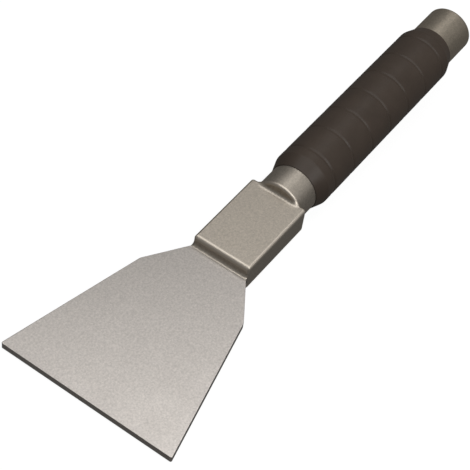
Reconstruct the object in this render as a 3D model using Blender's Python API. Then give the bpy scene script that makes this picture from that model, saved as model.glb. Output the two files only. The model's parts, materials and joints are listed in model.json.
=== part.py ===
"""A grill spatula: a flared steel blade in a cast bolster, on a tubular handle with a ribbed rubber sleeve.

The tool is drawn along its own X axis, from the blade's front edge at x = 0 back to the handle's end, with
the handle's centre line at y = z = 0. An empty then lays it on the table as it really lies: on the front
edge of its blade and the front of its grip, with the handle's end in the air.
"""

import math

import bmesh
import bpy

# ---------------------------------------------------------------- driving sizes, in metres

CLEARANCE = 0.0003

BLADE_LENGTH = 0.0974
BLADE_THICKNESS = 0.0035
BLADE_TIP_WIDTH = 0.0910
BLADE_TIP_RADIUS = 0.0005
BLADE_SHOULDER_WIDTH = 0.0574
BLADE_SHOULDER_SETBACK = 0.0220
BLADE_SHOULDER_RADIUS = 0.0030
BLADE_NECK_STRAIGHT = 0.0012
BLADE_NECK_RADIUS = 0.0020

TANG_LENGTH = 0.0300
TANG_WIDTH = 0.0236
TANG_CORNER_RADIUS = 0.0020

BOLSTER_LENGTH = 0.0464
BOLSTER_WIDTH = 0.0308
BOLSTER_HEIGHT = 0.0144
BOLSTER_EDGE_RADIUS = 0.0018
BOLSTER_END_RADIUS = 0.0014

COLLAR_LENGTH = 0.0202
COLLAR_RIM_RADIUS = 0.0015
COLLAR_OVERLAP = 0.0010
SPIGOT_LENGTH = 0.0250
SPIGOT_CHAMFER = 0.0010
SPIGOT_WALL = 0.0029
CORE_FRONT_WALL = 0.0050

TUBE_DIAMETER = 0.0254
TUBE_WALL = 0.0020
TUBE_LENGTH = 0.1440
TUBE_END_ROUND = 0.0005

PIN_DIAMETER = 0.0040
PIN_SETBACK = 0.0120
PIN_CHAMFER = 0.0005

SCREW_DIAMETER = 0.0050
SCREW_HEAD_DIAMETER = 0.0092
SCREW_HEAD_SINK = 0.0002
SCREW_LENGTH = 0.0120
SCREW_KEY_SIZE = 0.0030
SCREW_KEY_DEPTH = 0.0018
SCREW_FIRST_SETBACK = 0.0090
SCREW_SPACING = 0.0140
SCREW_HOLE_RUNOUT = 0.0004

EXPOSED_COLLAR = 0.0145
EXPOSED_TUBE = 0.0213
GRIP_DIAMETER = 0.0308
GRIP_TAPER_LENGTH = 0.0070
GRIP_LIP_THICKNESS = 0.0005
GROOVE_COUNT = 7
GROOVE_MARGIN = 0.0129
GROOVE_WIDTH = 0.0014
GROOVE_DEPTH = 0.0006

PLUG_LENGTH = 0.0120
PLUG_WALL = 0.0020
PLUG_FACE_THICKNESS = 0.0025
PLUG_RECESS = 0.0005
PLUG_CHAMFER = 0.0008
PLUG_BODY_RELIEF = 0.0005
PLUG_BAND_LENGTH = 0.0035

# How finely curves are cut up.
TURN_SEGMENTS = 48
SMALL_SEGMENTS = 24
ARC_SEGMENTS = 4

# ---------------------------------------------------------------- what follows from them

TUBE_RADIUS = TUBE_DIAMETER / 2
BORE_RADIUS = TUBE_RADIUS - TUBE_WALL
GRIP_RADIUS = GRIP_DIAMETER / 2
GRIP_BORE_RADIUS = TUBE_RADIUS + CLEARANCE
SPIGOT_RADIUS = BORE_RADIUS - CLEARANCE
CORE_RADIUS = SPIGOT_RADIUS - SPIGOT_WALL
PLUG_RADIUS = BORE_RADIUS - CLEARANCE

BOLSTER_START = BLADE_LENGTH
COLLAR_START = BOLSTER_START + BOLSTER_LENGTH
TUBE_START = COLLAR_START + COLLAR_LENGTH
HANDLE_END = TUBE_START + TUBE_LENGTH
GRIP_START = COLLAR_START + EXPOSED_COLLAR
GRIP_LENGTH = HANDLE_END - EXPOSED_TUBE - GRIP_START
GROOVE_PITCH = (GRIP_LENGTH - 2 * GROOVE_MARGIN) / (GROOVE_COUNT - 1)
SHOULDER_X = BLADE_LENGTH - BLADE_SHOULDER_SETBACK
TANG_START = BLADE_LENGTH - CLEARANCE
SCREW_XS = (BOLSTER_START + SCREW_FIRST_SETBACK, BOLSTER_START + SCREW_FIRST_SETBACK + SCREW_SPACING)
PIN_X = TUBE_START + PIN_SETBACK

SCREW_RADIUS = SCREW_DIAMETER / 2
SCREW_HEAD_RADIUS = SCREW_HEAD_DIAMETER / 2
SCREW_FACE_Z = -BOLSTER_HEIGHT / 2 + SCREW_HEAD_SINK
# A gap measured across a 45 degree cone is wider along its radius.
CONE_CLEARANCE = CLEARANCE * math.sqrt(2)

# The line from the blade's lower front edge to the grip's underside is the table top.
REST_X = GRIP_START + GRIP_TAPER_LENGTH
REST_ANGLE = math.atan2(GRIP_RADIUS - BLADE_THICKNESS / 2, REST_X)


def clear_scene():
    for obj in list(bpy.data.objects):
        bpy.data.objects.remove(obj, do_unlink=True)


def make_material(name, colour, roughness, metallic):
    material = bpy.data.materials.new(name)
    material.use_nodes = True
    shader = material.node_tree.nodes["Principled BSDF"]
    shader.inputs["Base Color"].default_value = (*colour, 1.0)
    shader.inputs["Roughness"].default_value = roughness
    shader.inputs["Metallic"].default_value = metallic
    material.diffuse_color = (*colour, 1.0)
    return material


def add_object(name, bm, material=None, location=(0, 0, 0), rotation=(0, 0, 0)):
    """Turns a bmesh into an object of the given name, with its faces pointing out."""
    bmesh.ops.recalc_face_normals(bm, faces=bm.faces)
    mesh = bpy.data.meshes.new(name)
    bm.to_mesh(mesh)
    bm.free()
    obj = bpy.data.objects.new(name, mesh)
    bpy.context.scene.collection.objects.link(obj)
    obj.location = location
    obj.rotation_euler = rotation
    if material is not None:
        mesh.materials.append(material)
        mesh.shade_smooth()
        mesh.set_sharp_from_angle(angle=math.radians(30))
    return obj


# ---------------------------------------------------------------- shapes


def rounded_outline(corners):
    """Points round a closed outline. Each corner is (x, y, radius), and a radius above 0 becomes an arc."""
    points = []
    for index, (x, y, radius) in enumerate(corners):
        if radius <= 0:
            points.append((x, y))
            continue
        before = corners[index - 1]
        after = corners[(index + 1) % len(corners)]
        angle_in = math.atan2(y - before[1], x - before[0])
        angle_out = math.atan2(after[1] - y, after[0] - x)
        turn = math.remainder(angle_out - angle_in, math.tau)
        reach = radius * math.tan(abs(turn) / 2)
        side = math.copysign(1.0, turn)
        start_x = x - reach * math.cos(angle_in)
        start_y = y - reach * math.sin(angle_in)
        centre_x = start_x - side * radius * math.sin(angle_in)
        centre_y = start_y + side * radius * math.cos(angle_in)
        for step in range(ARC_SEGMENTS + 1):
            heading = angle_in + turn * step / ARC_SEGMENTS
            px = centre_x + side * radius * math.sin(heading)
            py = centre_y - side * radius * math.cos(heading)
            points.append((px, py))
    return points


def extruded(outline, low, high):
    """A prism with the outline in XY, from z = low to z = high."""
    bm = bmesh.new()
    base = bm.faces.new([bm.verts.new((x, y, low)) for x, y in outline])
    grown = bmesh.ops.extrude_face_region(bm, geom=[base])
    moved = [item for item in grown["geom"] if isinstance(item, bmesh.types.BMVert)]
    bmesh.ops.translate(bm, verts=moved, vec=(0, 0, high - low))
    return bm


def turned(profile, segments=TURN_SEGMENTS):
    """A solid of revolution about Z. The profile is a closed loop of (z, radius)."""
    bm = bmesh.new()
    rings = []
    for z, radius in profile:
        if radius <= 0:
            rings.append([bm.verts.new((0, 0, z))])
            continue
        angles = [math.tau * step / segments for step in range(segments)]
        rings.append([bm.verts.new((radius * math.cos(a), radius * math.sin(a), z)) for a in angles])
    for index, ring in enumerate(rings):
        following = rings[(index + 1) % len(rings)]
        if len(ring) == 1 and len(following) == 1:
            continue
        for step in range(segments):
            ahead = (step + 1) % segments
            if len(ring) == 1:
                corners = [ring[0], following[step], following[ahead]]
            elif len(following) == 1:
                corners = [ring[step], ring[ahead], following[0]]
            else:
                corners = [ring[step], ring[ahead], following[ahead], following[step]]
            bm.faces.new(corners)
    return bm


def box(low, high):
    bm = bmesh.new()
    bmesh.ops.create_cube(bm, size=1.0)
    for vert in bm.verts:
        for axis in range(3):
            vert.co[axis] = low[axis] if vert.co[axis] < 0 else high[axis]
    return bm


def bevel_edges(bm, wanted, radius, segments):
    edges = [edge for edge in bm.edges if wanted(edge)]
    bmesh.ops.bevel(bm, geom=edges, offset=radius, segments=segments, profile=0.5, affect="EDGES")


def quarter_arc(centre_z, centre_r, radius, start, end):
    """Points (z, radius) on an arc about a centre, with angles in degrees measured from +z."""
    points = []
    for step in range(ARC_SEGMENTS + 1):
        angle = math.radians(start + (end - start) * step / ARC_SEGMENTS)
        points.append((centre_z + radius * math.cos(angle), centre_r + radius * math.sin(angle)))
    return points


def combine(obj, other, operation):
    """Adds a Boolean modifier, and leaves the other object as a hidden helper."""
    modifier = obj.modifiers.new(f"{operation.lower()}_{other.name}", "BOOLEAN")
    modifier.operation = operation
    modifier.solver = "EXACT"
    modifier.object = other
    other.hide_render = True
    other.display_type = "WIRE"


ALONG_TOOL = (0, math.pi / 2, 0)
ACROSS_TOOL = (-math.pi / 2, 0, 0)


# ---------------------------------------------------------------- the blade


def blade_outline():
    """The blade and its tang, from the front edge back to the tang's end, mirrored about y = 0."""
    neck_half = BOLSTER_WIDTH / 2
    half = [
        (0, BLADE_TIP_WIDTH / 2, BLADE_TIP_RADIUS),
        (SHOULDER_X, BLADE_SHOULDER_WIDTH / 2, BLADE_SHOULDER_RADIUS),
        (BLADE_LENGTH - BLADE_NECK_STRAIGHT, neck_half, BLADE_NECK_RADIUS),
        (TANG_START, neck_half, 0),
        (TANG_START, TANG_WIDTH / 2, 0),
        (TANG_START + TANG_LENGTH, TANG_WIDTH / 2, TANG_CORNER_RADIUS),
    ]
    other_half = [(x, -y, radius) for x, y, radius in reversed(half)]
    return rounded_outline(half + other_half)


def screw_hole_cutter(name, x):
    """A plain round hole through the tang."""
    radius = SCREW_RADIUS + CLEARANCE
    reach = BLADE_THICKNESS
    profile = [(-reach, 0), (-reach, radius), (reach, radius), (reach, 0)]
    return add_object(name, turned(profile, SMALL_SEGMENTS), location=(x, 0, 0))


def make_blade(material):
    half_thickness = BLADE_THICKNESS / 2
    blade = add_object("blade", extruded(blade_outline(), -half_thickness, half_thickness), material)
    cutters = []
    for number, x in enumerate(SCREW_XS, start=1):
        cutter = screw_hole_cutter(f"tang_hole_{number}", x)
        combine(blade, cutter, "DIFFERENCE")
        cutters.append(cutter)
    return [blade, *cutters]


# ---------------------------------------------------------------- the bolster


def bolster_block():
    """The block that holds the tang: long edges rounded first, then the edges round its two ends."""
    rear = COLLAR_START + COLLAR_OVERLAP
    half_width = BOLSTER_WIDTH / 2
    half_height = BOLSTER_HEIGHT / 2
    bm = box((BOLSTER_START, -half_width, -half_height), (rear, half_width, half_height))
    tiny = CLEARANCE / 10
    bevel_edges(
        bm,
        lambda edge: abs(edge.verts[0].co.x - edge.verts[1].co.x) > tiny,
        BOLSTER_EDGE_RADIUS,
        ARC_SEGMENTS,
    )
    bevel_edges(
        bm,
        lambda edge: abs(edge.verts[0].co.x - edge.verts[1].co.x) < tiny,
        BOLSTER_END_RADIUS,
        ARC_SEGMENTS // 2,
    )
    return bm


def collar_profile():
    """Round collar with a rounded front rim, then the spigot for the tube, cored from its rear end."""
    spigot_end = COLLAR_LENGTH + SPIGOT_LENGTH
    rim = quarter_arc(COLLAR_RIM_RADIUS, TUBE_RADIUS - COLLAR_RIM_RADIUS, COLLAR_RIM_RADIUS, 180, 90)
    return [
        (0, 0),
        *rim,
        (COLLAR_LENGTH, TUBE_RADIUS),
        (COLLAR_LENGTH, SPIGOT_RADIUS),
        (spigot_end - SPIGOT_CHAMFER, SPIGOT_RADIUS),
        (spigot_end, SPIGOT_RADIUS - SPIGOT_CHAMFER),
        (spigot_end, CORE_RADIUS),
        (CORE_FRONT_WALL, CORE_RADIUS),
        (CORE_FRONT_WALL, 0),
    ]


def fastener_cutter(name, x):
    """The countersink, the clearance hole and the blind hole for one screw, in one turned shape."""
    shank = SCREW_RADIUS + CLEARANCE
    head = SCREW_HEAD_RADIUS + CONE_CLEARANCE
    cone = head - shank
    end = SCREW_LENGTH + SCREW_HOLE_RUNOUT
    below = -SCREW_HEAD_SINK - CLEARANCE
    profile = [(below, 0), (below, head), (0, head), (cone, shank), (end, shank), (end, 0)]
    return add_object(name, turned(profile, SMALL_SEGMENTS), location=(x, 0, SCREW_FACE_Z))


def pin_hole_cutter(name):
    radius = PIN_DIAMETER / 2 + CLEARANCE
    reach = GRIP_RADIUS
    profile = [(-reach, 0), (-reach, radius), (reach, radius), (reach, 0)]
    mesh = turned(profile, SMALL_SEGMENTS)
    return add_object(name, mesh, location=(PIN_X, 0, 0), rotation=ACROSS_TOOL)


def make_bolster(material):
    bolster = add_object("bolster", bolster_block(), material)
    collar = add_object(
        "collar_blank",
        turned(collar_profile()),
        location=(COLLAR_START, 0, 0),
        rotation=ALONG_TOOL,
    )
    combine(bolster, collar, "UNION")
    slot_half_width = TANG_WIDTH / 2 + CLEARANCE
    slot_half_height = BLADE_THICKNESS / 2 + CLEARANCE
    slot_end = TANG_START + TANG_LENGTH + CLEARANCE
    slot_low = (BOLSTER_START - CLEARANCE, -slot_half_width, -slot_half_height)
    slot = add_object("tang_slot", box(slot_low, (slot_end, slot_half_width, slot_half_height)))
    combine(bolster, slot, "DIFFERENCE")
    helpers = [collar, slot]
    for number, x in enumerate(SCREW_XS, start=1):
        cutter = fastener_cutter(f"screw_hole_{number}", x)
        combine(bolster, cutter, "DIFFERENCE")
        helpers.append(cutter)
    pin_hole = pin_hole_cutter("spigot_pin_hole")
    combine(bolster, pin_hole, "DIFFERENCE")
    return [bolster, *helpers, pin_hole]


# ---------------------------------------------------------------- fasteners


def screw_profile():
    head_depth = SCREW_HEAD_RADIUS - SCREW_RADIUS
    chamfer = SCREW_RADIUS / 5
    return [
        (0, 0),
        (0, SCREW_HEAD_RADIUS),
        (head_depth, SCREW_RADIUS),
        (SCREW_LENGTH - chamfer, SCREW_RADIUS),
        (SCREW_LENGTH, SCREW_RADIUS - chamfer),
        (SCREW_LENGTH, 0),
    ]


def hex_key_outline():
    corner_radius = SCREW_KEY_SIZE / math.sqrt(3)
    angles = [math.tau * side / 6 for side in range(6)]
    return [(corner_radius * math.cos(angle), corner_radius * math.sin(angle)) for angle in angles]


def make_screws(material):
    made = []
    for place, x in zip(("front", "rear"), SCREW_XS):
        location = (x, 0, SCREW_FACE_Z)
        mesh = turned(screw_profile(), SMALL_SEGMENTS)
        screw = add_object(f"blade_screw_{place}", mesh, material, location)
        key_mesh = extruded(hex_key_outline(), -SCREW_KEY_DEPTH, SCREW_KEY_DEPTH)
        key = add_object(f"screw_key_{place}", key_mesh, location=location)
        combine(screw, key, "DIFFERENCE")
        made += [screw, key]
    return made


def make_tube_pin(material):
    reach = TUBE_RADIUS - CLEARANCE
    radius = PIN_DIAMETER / 2
    profile = [
        (-reach, 0),
        (-reach, radius - PIN_CHAMFER),
        (PIN_CHAMFER - reach, radius),
        (reach - PIN_CHAMFER, radius),
        (reach, radius - PIN_CHAMFER),
        (reach, 0),
    ]
    mesh = turned(profile, SMALL_SEGMENTS)
    return [add_object("tube_pin", mesh, material, (PIN_X, 0, 0), ACROSS_TOOL)]


# ---------------------------------------------------------------- handle, grip and plug


def make_handle_tube(material):
    front = CLEARANCE
    profile = [
        (front, BORE_RADIUS),
        (front, TUBE_RADIUS),
        (TUBE_LENGTH - TUBE_END_ROUND, TUBE_RADIUS),
        (TUBE_LENGTH, TUBE_RADIUS - TUBE_END_ROUND),
        (TUBE_LENGTH, BORE_RADIUS),
    ]
    tube = add_object("handle_tube", turned(profile), material, (TUBE_START, 0, 0), ALONG_TOOL)
    hole = pin_hole_cutter("tube_pin_hole")
    combine(tube, hole, "DIFFERENCE")
    return [tube, hole]


def grip_profile():
    """Tapered at both ends, with narrow grooves spaced evenly between them."""
    lip = GRIP_BORE_RADIUS + GRIP_LIP_THICKNESS
    points = [(0, GRIP_BORE_RADIUS), (0, lip), (GRIP_TAPER_LENGTH, GRIP_RADIUS)]
    for number in range(GROOVE_COUNT):
        middle = GROOVE_MARGIN + GROOVE_PITCH * number
        points.append((middle - GROOVE_WIDTH / 2, GRIP_RADIUS))
        points.append((middle, GRIP_RADIUS - GROOVE_DEPTH))
        points.append((middle + GROOVE_WIDTH / 2, GRIP_RADIUS))
    points.append((GRIP_LENGTH - GRIP_TAPER_LENGTH, GRIP_RADIUS))
    points.append((GRIP_LENGTH, lip))
    points.append((GRIP_LENGTH, GRIP_BORE_RADIUS))
    return points


def make_grip(material):
    return [add_object("grip_sleeve", turned(grip_profile()), material, (GRIP_START, 0, 0), ALONG_TOOL)]


def make_plug(material):
    """A hollow press-in plug: its face just inside the tube's end, and a gripping band at each end."""
    relieved = PLUG_RADIUS - PLUG_BODY_RELIEF
    cup_radius = relieved - PLUG_WALL
    face = PLUG_LENGTH
    profile = [
        (face, 0),
        (face, PLUG_RADIUS - PLUG_CHAMFER),
        (face - PLUG_CHAMFER, PLUG_RADIUS),
        (face - PLUG_BAND_LENGTH, PLUG_RADIUS),
        (face - PLUG_BAND_LENGTH, relieved),
        (PLUG_BAND_LENGTH, relieved),
        (PLUG_BAND_LENGTH, PLUG_RADIUS),
        (PLUG_CHAMFER, PLUG_RADIUS),
        (0, PLUG_RADIUS - PLUG_CHAMFER),
        (0, cup_radius),
        (face - PLUG_FACE_THICKNESS, cup_radius),
        (face - PLUG_FACE_THICKNESS, 0),
    ]
    start = HANDLE_END - PLUG_RECESS - PLUG_LENGTH
    return [add_object("end_plug", turned(profile), material, (start, 0, 0), ALONG_TOOL)]


# ---------------------------------------------------------------- lay it on the table


def resting_empty():
    """The empty that tilts the tool onto its two rests and centres its footprint on the origin."""

    def placed(x, z):
        cosine = math.cos(REST_ANGLE)
        sine = math.sin(REST_ANGLE)
        return (x * cosine - z * sine, x * sine + z * cosine)

    table = placed(0, -BLADE_THICKNESS / 2)[1]
    front = placed(0, BLADE_THICKNESS / 2)[0]
    rear_lower = placed(HANDLE_END - TUBE_END_ROUND, -TUBE_RADIUS)[0]
    rear_edge = placed(HANDLE_END, TUBE_END_ROUND - TUBE_RADIUS)[0]
    rear = max(rear_lower, rear_edge)
    empty = bpy.data.objects.new("resting_tool", None)
    bpy.context.scene.collection.objects.link(empty)
    empty.rotation_euler = (0, -REST_ANGLE, 0)
    empty.location = (-(front + rear) / 2, 0, -table)
    return empty


def main():
    clear_scene()
    blade_steel = make_material("blade_steel", (0.42, 0.39, 0.35), 0.45, 0.9)
    cast_steel = make_material("cast_steel", (0.38, 0.35, 0.31), 0.5, 0.9)
    tube_steel = make_material("tube_steel", (0.34, 0.31, 0.28), 0.42, 0.9)
    screw_steel = make_material("screw_steel", (0.30, 0.29, 0.28), 0.35, 1.0)
    pin_steel = make_material("pin_steel", (0.25, 0.25, 0.26), 0.4, 1.0)
    grip_rubber = make_material("grip_rubber", (0.022, 0.018, 0.015), 0.5, 0.0)
    plug_plastic = make_material("plug_plastic", (0.012, 0.012, 0.013), 0.55, 0.0)
    made = []
    made += make_blade(blade_steel)
    made += make_bolster(cast_steel)
    made += make_screws(screw_steel)
    made += make_handle_tube(tube_steel)
    made += make_tube_pin(pin_steel)
    made += make_grip(grip_rubber)
    made += make_plug(plug_plastic)
    empty = resting_empty()
    for obj in made:
        obj.parent = empty


main()
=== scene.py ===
"""The finished look of a grill spatula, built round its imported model.

Every piece is a surface worked out with numpy in the tool's own axes, in metres: x runs back from the
blade's front edge, y across the blade, z up out of the blade's face, and the handle's centre line is
y = z = 0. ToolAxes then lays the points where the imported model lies.
"""

from __future__ import annotations

import json
import logging
import math
from collections.abc import Callable, Sequence
from dataclasses import dataclass, field
from enum import Enum
from typing import Any

import bpy
import numpy as np
from mathutils import Matrix, Vector

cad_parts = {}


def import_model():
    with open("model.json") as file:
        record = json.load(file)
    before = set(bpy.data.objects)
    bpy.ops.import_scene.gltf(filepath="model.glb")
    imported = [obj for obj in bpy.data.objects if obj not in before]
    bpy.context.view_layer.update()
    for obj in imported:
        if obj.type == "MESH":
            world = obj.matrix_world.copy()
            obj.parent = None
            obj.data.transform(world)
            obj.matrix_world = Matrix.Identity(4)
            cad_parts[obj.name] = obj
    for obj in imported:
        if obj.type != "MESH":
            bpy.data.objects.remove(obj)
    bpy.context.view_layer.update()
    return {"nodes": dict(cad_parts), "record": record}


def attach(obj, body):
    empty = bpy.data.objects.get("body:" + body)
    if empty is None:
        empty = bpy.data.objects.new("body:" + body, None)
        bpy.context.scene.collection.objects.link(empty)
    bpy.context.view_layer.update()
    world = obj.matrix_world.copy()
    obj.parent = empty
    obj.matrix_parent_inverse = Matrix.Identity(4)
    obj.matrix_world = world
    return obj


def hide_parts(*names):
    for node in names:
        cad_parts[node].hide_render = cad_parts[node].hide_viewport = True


LOG = logging.getLogger("grill_spatula")
ROOT_BODY = "root"
EDGE_ATTRIBUTE = "edge"
NOISE_SPAN = (0.3, 0.7)
MIX_AMOUNT, MIX_FIRST, MIX_SECOND, MIX_RESULT = 0, 6, 7, 2
SHARP_ANGLE = math.radians(35)
TINY = 1e-9
Colour = tuple[float, float, float]


class Slot(Enum):
    """The record's material slots."""

    BLADE_STEEL = "blade_steel"
    CAST_STEEL = "cast_steel"
    TUBE_STEEL = "tube_steel"
    SCREW_STEEL = "screw_steel"
    PIN_STEEL = "pin_steel"
    GRIP_RUBBER = "grip_rubber"
    PLUG_PLASTIC = "plug_plastic"


# Places and meshes


@dataclass(frozen=True)
class ToolAxes:
    """Where the tool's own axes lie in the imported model's frame.

    Attributes:
        origin: the middle of the blade's front edge, on the handle's centre line.
        basis: rows are the tool's x, y and z directions.
    """

    origin: np.ndarray
    basis: np.ndarray

    @classmethod
    def from_record(cls, record: dict[str, Any], top_point: Sequence[float]) -> ToolAxes:
        """Reads the tool's tilt and place from the mount on the bolster's top face.

        Args:
            record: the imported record.
            top_point: that mount's point in the tool's own axes.

        Returns:
            The axes, with z along the mount's normal.
        """
        mount = next(item for item in record["mounts"] if item["name"] == "bolster_top")
        up = np.array(mount["axis"], float)
        up /= np.linalg.norm(up)
        across = np.array([0.0, 1.0, 0.0])
        basis = np.stack([np.cross(across, up), across, up])
        origin = np.array(mount["pos_m"], float) - np.array(top_point, float) @ basis
        return cls(origin, basis)

    def place(self, points: np.ndarray) -> np.ndarray:
        """Turns points in the tool's axes into points in the frame."""
        return self.origin + points @ self.basis


@dataclass
class Surface:
    """A mesh in the making: points in the tool's axes, faces as index lists, and how worn each point is."""

    points: np.ndarray
    faces: list[list[int]]
    edge: np.ndarray | None = None

    def to_object(self, name: str, axes: ToolAxes) -> bpy.types.Object:
        """Makes the mesh object, with its place in its mesh and its faces pointing out.

        Args:
            name: the object's name.
            axes: where the tool lies.

        Returns:
            The new object, at the origin.
        """
        mesh = bpy.data.meshes.new(name)
        mesh.from_pydata(axes.place(self.points), [], self.faces)
        if signed_volume(mesh) < 0:
            mesh.flip_normals()
        if self.edge is not None:
            layer = mesh.attributes.new(EDGE_ATTRIBUTE, "FLOAT", "POINT")
            layer.data.foreach_set("value", self.edge.astype(np.float32))
        mesh.shade_smooth()
        mesh.set_sharp_from_angle(angle=SHARP_ANGLE)
        mesh.update()
        obj = bpy.data.objects.new(name, mesh)
        bpy.context.scene.collection.objects.link(obj)
        return obj


def signed_volume(mesh: bpy.types.Mesh) -> float:
    """The volume inside a closed mesh: the sum over its triangles of corner a . (b x c) / 6.

    Args:
        mesh: the mesh to measure.

    Returns:
        Its volume, below zero if its faces point in.
    """
    mesh.calc_loop_triangles()
    corners = np.empty(len(mesh.loop_triangles) * 3, np.int32)
    mesh.loop_triangles.foreach_get("vertices", corners)
    points = np.empty(len(mesh.vertices) * 3, np.float32)
    mesh.vertices.foreach_get("co", points)
    triangles = points.reshape(-1, 3).astype(float)[corners.reshape(-1, 3)]
    return float(np.linalg.det(triangles).sum() / 6)


def tube_faces(rings: int, columns: int, closed: bool = False) -> list[list[int]]:
    """Quads that join rings of points one after another.

    Args:
        rings: how many rings there are.
        columns: points in each ring.
        closed: whether the last ring joins the first.

    Returns:
        Index lists of the quads.
    """
    spans = rings if closed else rings - 1
    ring = np.arange(spans)[:, None]
    column = np.arange(columns)[None, :]
    following = (ring + 1) % rings
    ahead = (column + 1) % columns
    corners = np.stack(
        [
            ring * columns + column,
            ring * columns + ahead,
            following * columns + ahead,
            following * columns + column,
        ],
        axis=-1,
    )
    return corners.reshape(-1, 4).tolist()


def fan_faces(pole: int, first: int, columns: int, outward: bool) -> list[list[int]]:
    """Triangles from a pole to a ring.

    Args:
        pole: index of the pole.
        first: index of the ring's first point.
        columns: points in the ring.
        outward: turns the triangles the way the rings' quads go when the pole comes after the ring.

    Returns:
        Index lists of the triangles.
    """
    column = np.arange(columns)
    here = first + column
    ahead = first + (column + 1) % columns
    centre = np.full(columns, pole)
    order = [here, ahead, centre] if outward else [ahead, here, centre]
    return np.stack(order, axis=-1).tolist()


def capped(rings: np.ndarray, first: Sequence[float], last: Sequence[float]) -> Surface:
    """Joins rings into a skin and closes each end on a pole.

    Args:
        rings: points, as rings by columns by 3.
        first: the pole before the first ring.
        last: the pole after the last ring.

    Returns:
        The closed surface.
    """
    count, columns = rings.shape[:2]
    points = rings.reshape(-1, 3)
    faces = tube_faces(count, columns)
    faces += fan_faces(len(points), 0, columns, outward=False)
    faces += fan_faces(len(points) + 1, (count - 1) * columns, columns, outward=True)
    return Surface(np.concatenate([points, [first, last]]), faces)


def polar(x: np.ndarray, radius: np.ndarray, angle: np.ndarray) -> np.ndarray:
    """Rings round the centre line: the point at angle t from +y is (x, r cos t, r sin t).

    Args:
        x: each ring's place.
        radius: a radius for each point, or one for each ring as a column.
        angle: the angles of a ring's points.

    Returns:
        Points, as rings by columns by 3.
    """
    along = np.repeat(x[:, None], len(angle), axis=1)
    return np.stack([along, radius * np.cos(angle), radius * np.sin(angle)], axis=-1)


def turned(profile: np.ndarray, columns: int, closed: bool) -> Surface:
    """A profile turned about the handle's centre line.

    Args:
        profile: (x, r) pairs.
        columns: points in each ring.
        closed: True for a ring-shaped section. False closes both ends on the centre line.

    Returns:
        The closed surface.
    """
    angle = np.linspace(0, math.tau, columns, endpoint=False)
    rings = polar(profile[:, 0], profile[:, 1:], angle)
    if closed:
        return Surface(rings.reshape(-1, 3), tube_faces(len(profile), columns, closed=True))
    return capped(rings, [profile[0, 0], 0, 0], [profile[-1, 0], 0, 0])


def arc(centre: tuple[float, float], radius: float, start: float, end: float, count: int) -> np.ndarray:
    """Points (x, r) along a circular arc.

    Args:
        centre: (x, r) of its centre.
        radius: its radius.
        start: first angle in degrees, from +x towards +r.
        end: last angle in degrees.
        count: how many points.

    Returns:
        An array of count rows.
    """
    angle = np.radians(np.linspace(start, end, count))
    return np.stack([centre[0] + radius * np.cos(angle), centre[1] + radius * np.sin(angle)], axis=-1)


def smoothstep(t: np.ndarray) -> np.ndarray:
    """The S curve 3t^2 - 2t^3 between 0 and 1."""
    t = np.clip(t, 0, 1)
    return t * t * (3 - 2 * t)


def spread(start: float, end: float, step: float) -> np.ndarray:
    """Evenly spaced values from start to end, about a step apart and at least two."""
    return np.linspace(start, end, max(2, round(abs(end - start) / step) + 1))


def rounded_line(x: np.ndarray, corners: Sequence[tuple[float, float, float]]) -> np.ndarray:
    """The height of a broken line whose inner corners are circular arcs.

    A corner's arc touches both of its lines at radius * tan(turn / 2) from the corner.

    Args:
        x: where to read the height.
        corners: (x, y, radius) from left to right. The first and last radius aren't used.

    Returns:
        The heights at x.
    """
    height = np.interp(x, [c[0] for c in corners], [c[1] for c in corners])
    for before, here, after in zip(corners, corners[1:], corners[2:]):
        heading_in = math.atan2(here[1] - before[1], here[0] - before[0])
        heading_out = math.atan2(after[1] - here[1], after[0] - here[0])
        turn = heading_out - heading_in
        reach = here[2] * math.tan(abs(turn) / 2)
        side = math.copysign(1.0, turn)
        start = here[0] - reach * math.cos(heading_in)
        end = here[0] + reach * math.cos(heading_out)
        centre_x = start - side * here[2] * math.sin(heading_in)
        centre_y = here[1] - reach * math.sin(heading_in) + side * here[2] * math.cos(heading_in)
        inside = (x >= start) & (x <= end)
        rise = np.sqrt(np.maximum(here[2] ** 2 - (x[inside] - centre_x) ** 2, 0))
        height[inside] = centre_y - side * rise
    return height


# Finishes


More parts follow.
